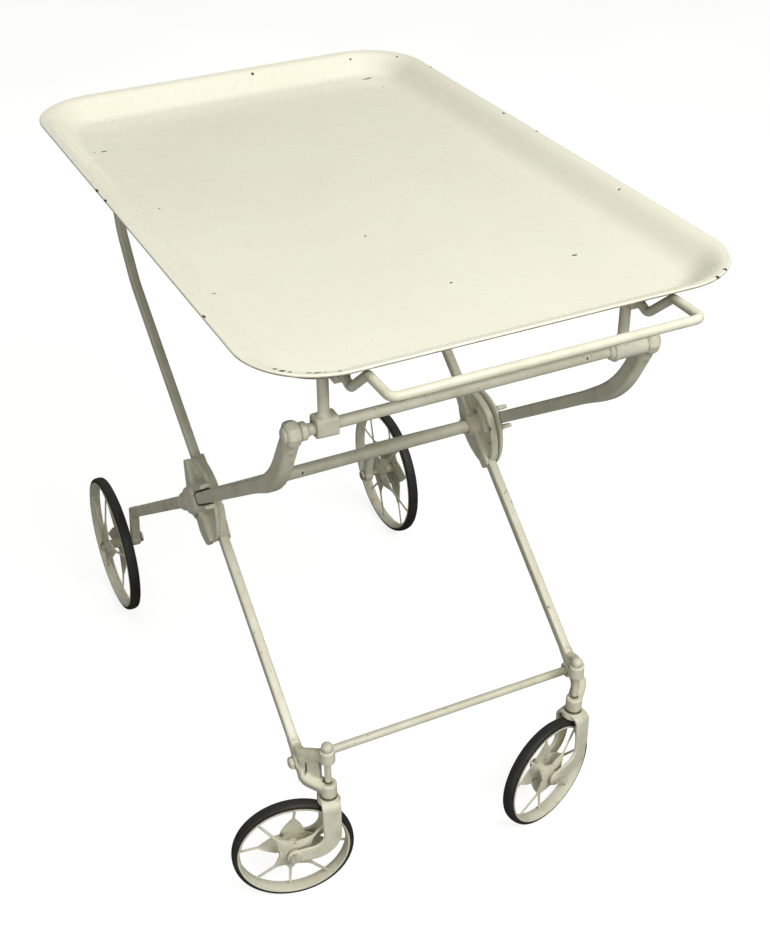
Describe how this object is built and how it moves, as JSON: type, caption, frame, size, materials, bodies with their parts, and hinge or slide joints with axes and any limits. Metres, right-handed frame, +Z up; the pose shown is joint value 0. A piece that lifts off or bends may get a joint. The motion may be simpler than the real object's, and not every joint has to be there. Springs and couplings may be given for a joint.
{
  "type": "folding serving cart",
  "caption": "Folding serving cart: a rimmed enamelled tray on a crossed-leg steel frame with fixed spoked wheels at one end, swivelling casters at the other, and a push handle.",
  "frame": {"origin": "centre of the tray floor, on its upper face", "axes": "+X to the right as seen from the handle, +Y along the tray away from the handle towards the fixed wheels, +Z up out of the tray floor"},
  "size_m": [0.5302, 0.8957, 0.7598],
  "materials": {
    "tray_enamel": "glossy ivory enamel",
    "frame_enamel": "satin ivory enamel, worn at the joints",
    "tyre_rubber": "matt solid rubber",
    "pin_steel": "painted-over steel pins"
  },
  "bodies": {
    "rear_frame": {"hinge_rod": "frame_enamel", "rod_collar_left": "frame_enamel", "rod_collar_right": "frame_enamel", "rod_nut_left": "frame_enamel", "rod_nut_right": "frame_enamel", "axle_leg_bar_left": "frame_enamel", "axle_leg_bar_right": "frame_enamel", "axle_leg_tail_left": "frame_enamel", "axle_leg_tail_right": "frame_enamel", "axle_leg_knuckle_left": "frame_enamel", "axle_leg_knuckle_right": "frame_enamel", "rear_axle_left": "pin_steel", "rear_axle_right": "pin_steel"},
    "front_frame": {"cross_bar": "frame_enamel", "lower_cross_bar": "frame_enamel", "rest_rod": "frame_enamel", "lower_bar_nut_left": "frame_enamel", "lower_bar_nut_right": "frame_enamel", "caster_leg_lower_bar_left": "frame_enamel", "caster_leg_lower_bar_right": "frame_enamel", "caster_leg_upper_bar_left": "frame_enamel", "caster_leg_upper_bar_right": "frame_enamel", "caster_leg_knuckle_left": "frame_enamel", "caster_leg_knuckle_right": "frame_enamel", "caster_bracket_left": "frame_enamel", "caster_bracket_right": "frame_enamel"},
    "tray": {"tray_pan": "tray_enamel", "handle_rod": "frame_enamel", "handle_clip_left": "frame_enamel", "handle_clip_right": "frame_enamel", "tray_post_left": "frame_enamel", "tray_post_right": "frame_enamel", "rest_catch_left": "frame_enamel", "rest_catch_right": "frame_enamel"},
    "caster_left": {"caster_fork_left": "frame_enamel", "caster_stem_left": "pin_steel", "caster_axle_left": "pin_steel"},
    "caster_wheel_left": {"caster_wheel_left_tyre": "tyre_rubber", "caster_wheel_left_rim": "frame_enamel", "caster_wheel_left_hub": "frame_enamel", "caster_wheel_left_outer_star": "frame_enamel", "caster_wheel_left_inner_star": "frame_enamel"},
    "rear_wheel_left": {"rear_wheel_left_tyre": "tyre_rubber", "rear_wheel_left_rim": "frame_enamel", "rear_wheel_left_hub": "frame_enamel", "rear_wheel_left_outer_star": "frame_enamel", "rear_wheel_left_inner_star": "frame_enamel"},
    "caster_right": {"caster_fork_right": "frame_enamel", "caster_stem_right": "pin_steel", "caster_axle_right": "pin_steel"},
    "caster_wheel_right": {"caster_wheel_right_tyre": "tyre_rubber", "caster_wheel_right_rim": "frame_enamel", "caster_wheel_right_hub": "frame_enamel", "caster_wheel_right_outer_star": "frame_enamel", "caster_wheel_right_inner_star": "frame_enamel"},
    "rear_wheel_right": {"rear_wheel_right_tyre": "tyre_rubber", "rear_wheel_right_rim": "frame_enamel", "rear_wheel_right_hub": "frame_enamel", "rear_wheel_right_outer_star": "frame_enamel", "rear_wheel_right_inner_star": "frame_enamel"}
  },
  "joints": [
    {"name": "fold", "type": "hinge", "parent": "rear_frame", "child": "front_frame", "pos_m": [0, 0.0146, -0.3503], "axis": [1, 0, 0], "range_deg": [0, 60]},
    {"name": "tray_tilt", "type": "hinge", "parent": "rear_frame", "child": "tray", "pos_m": [0, -0.304, -0.082], "axis": [1, 0, 0], "range_deg": [0, 28]},
    {"name": "caster_swivel_left", "type": "hinge", "parent": "front_frame", "child": "caster_left", "pos_m": [-0.162, -0.276, -0.588], "axis": [0, 0, 1], "continuous": true},
    {"name": "caster_spin_left", "type": "hinge", "parent": "caster_left", "child": "caster_wheel_left", "pos_m": [-0.20553, -0.26675, -0.663], "axis": [0.2079, 0.9781, 0], "continuous": true},
    {"name": "rear_spin_left", "type": "hinge", "parent": "rear_frame", "child": "rear_wheel_left", "pos_m": [-0.222, 0.361, -0.635], "axis": [1, 0, 0], "continuous": true},
    {"name": "caster_swivel_right", "type": "hinge", "parent": "front_frame", "child": "caster_right", "pos_m": [0.162, -0.276, -0.588], "axis": [0, 0, 1], "continuous": true},
    {"name": "caster_spin_right", "type": "hinge", "parent": "caster_right", "child": "caster_wheel_right", "pos_m": [0.11968, -0.28975, -0.663], "axis": [-0.309, 0.9511, 0], "continuous": true},
    {"name": "rear_spin_right", "type": "hinge", "parent": "rear_frame", "child": "rear_wheel_right", "pos_m": [0.222, 0.361, -0.635], "axis": [1, 0, 0], "continuous": true}
  ],
  "couplings": [
    {"joint": "tray_tilt", "follows": "fold", "ratio": 0.46}
  ]
}
